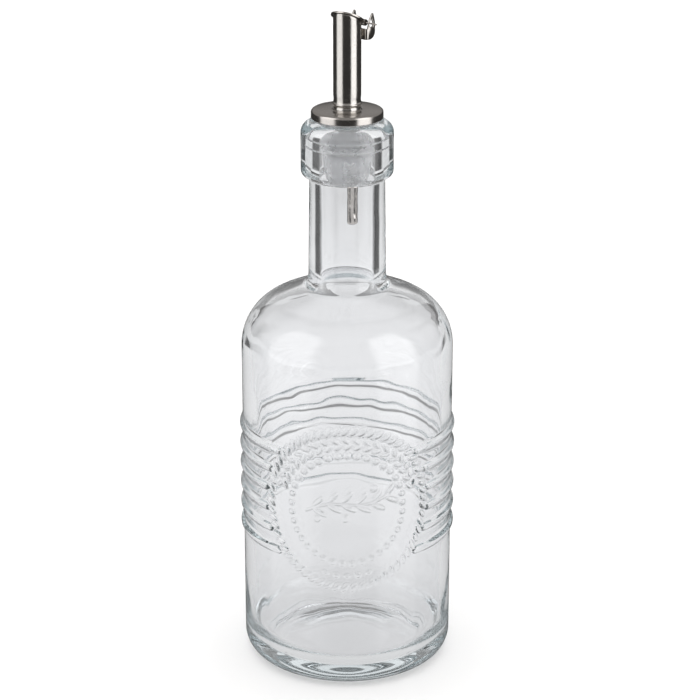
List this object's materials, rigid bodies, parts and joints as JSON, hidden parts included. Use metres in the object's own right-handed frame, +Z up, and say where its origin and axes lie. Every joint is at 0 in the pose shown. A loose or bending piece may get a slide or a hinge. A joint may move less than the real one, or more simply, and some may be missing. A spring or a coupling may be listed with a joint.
{
  "type": "oil bottle",
  "caption": "Cylindrical clear glass oil bottle with side ribs, round front medallion, narrow neck and a steel flap pourer on a soft stopper.",
  "frame": {"origin": "centre of the foot, on the surface the bottle stands on", "axes": "+Z up along the bottle's axis; the round front medallion faces -Y; the pourer's flap hinge is towards +X+Y"},
  "size_m": [0.0822, 0.082, 0.2542],
  "materials": {
    "glass": "clear, fire-polished, faint grey-green tint",
    "silicone": "milky translucent elastomer",
    "brushed_cap": "turned concentric brushing on top, bright rolled edge",
    "spout_steel": "fine satin along the tube",
    "sheet_steel": "stamped bright sheet"
  },
  "bodies": {
    "bottle": {"bottle": "glass"},
    "pourer": {"stopper": "silicone", "cap": "brushed_cap", "spout_tube": "spout_steel", "vent_tube": "spout_steel", "hinge_bracket": "sheet_steel"},
    "flap": {"flap": "sheet_steel", "hinge_pin": "sheet_steel"}
  },
  "joints": [
    {"name": "pourer_lift", "type": "slide", "parent": "bottle", "child": "pourer", "axis": [0, 0, 1], "range_m": [0, 0.045]},
    {"name": "flap_hinge", "type": "hinge", "parent": "pourer", "child": "flap", "pos_m": [0.00532, 0.00591, 0.248], "axis": [-0.7431, 0.6691, 0], "range_deg": [0, 75]}
  ]
}
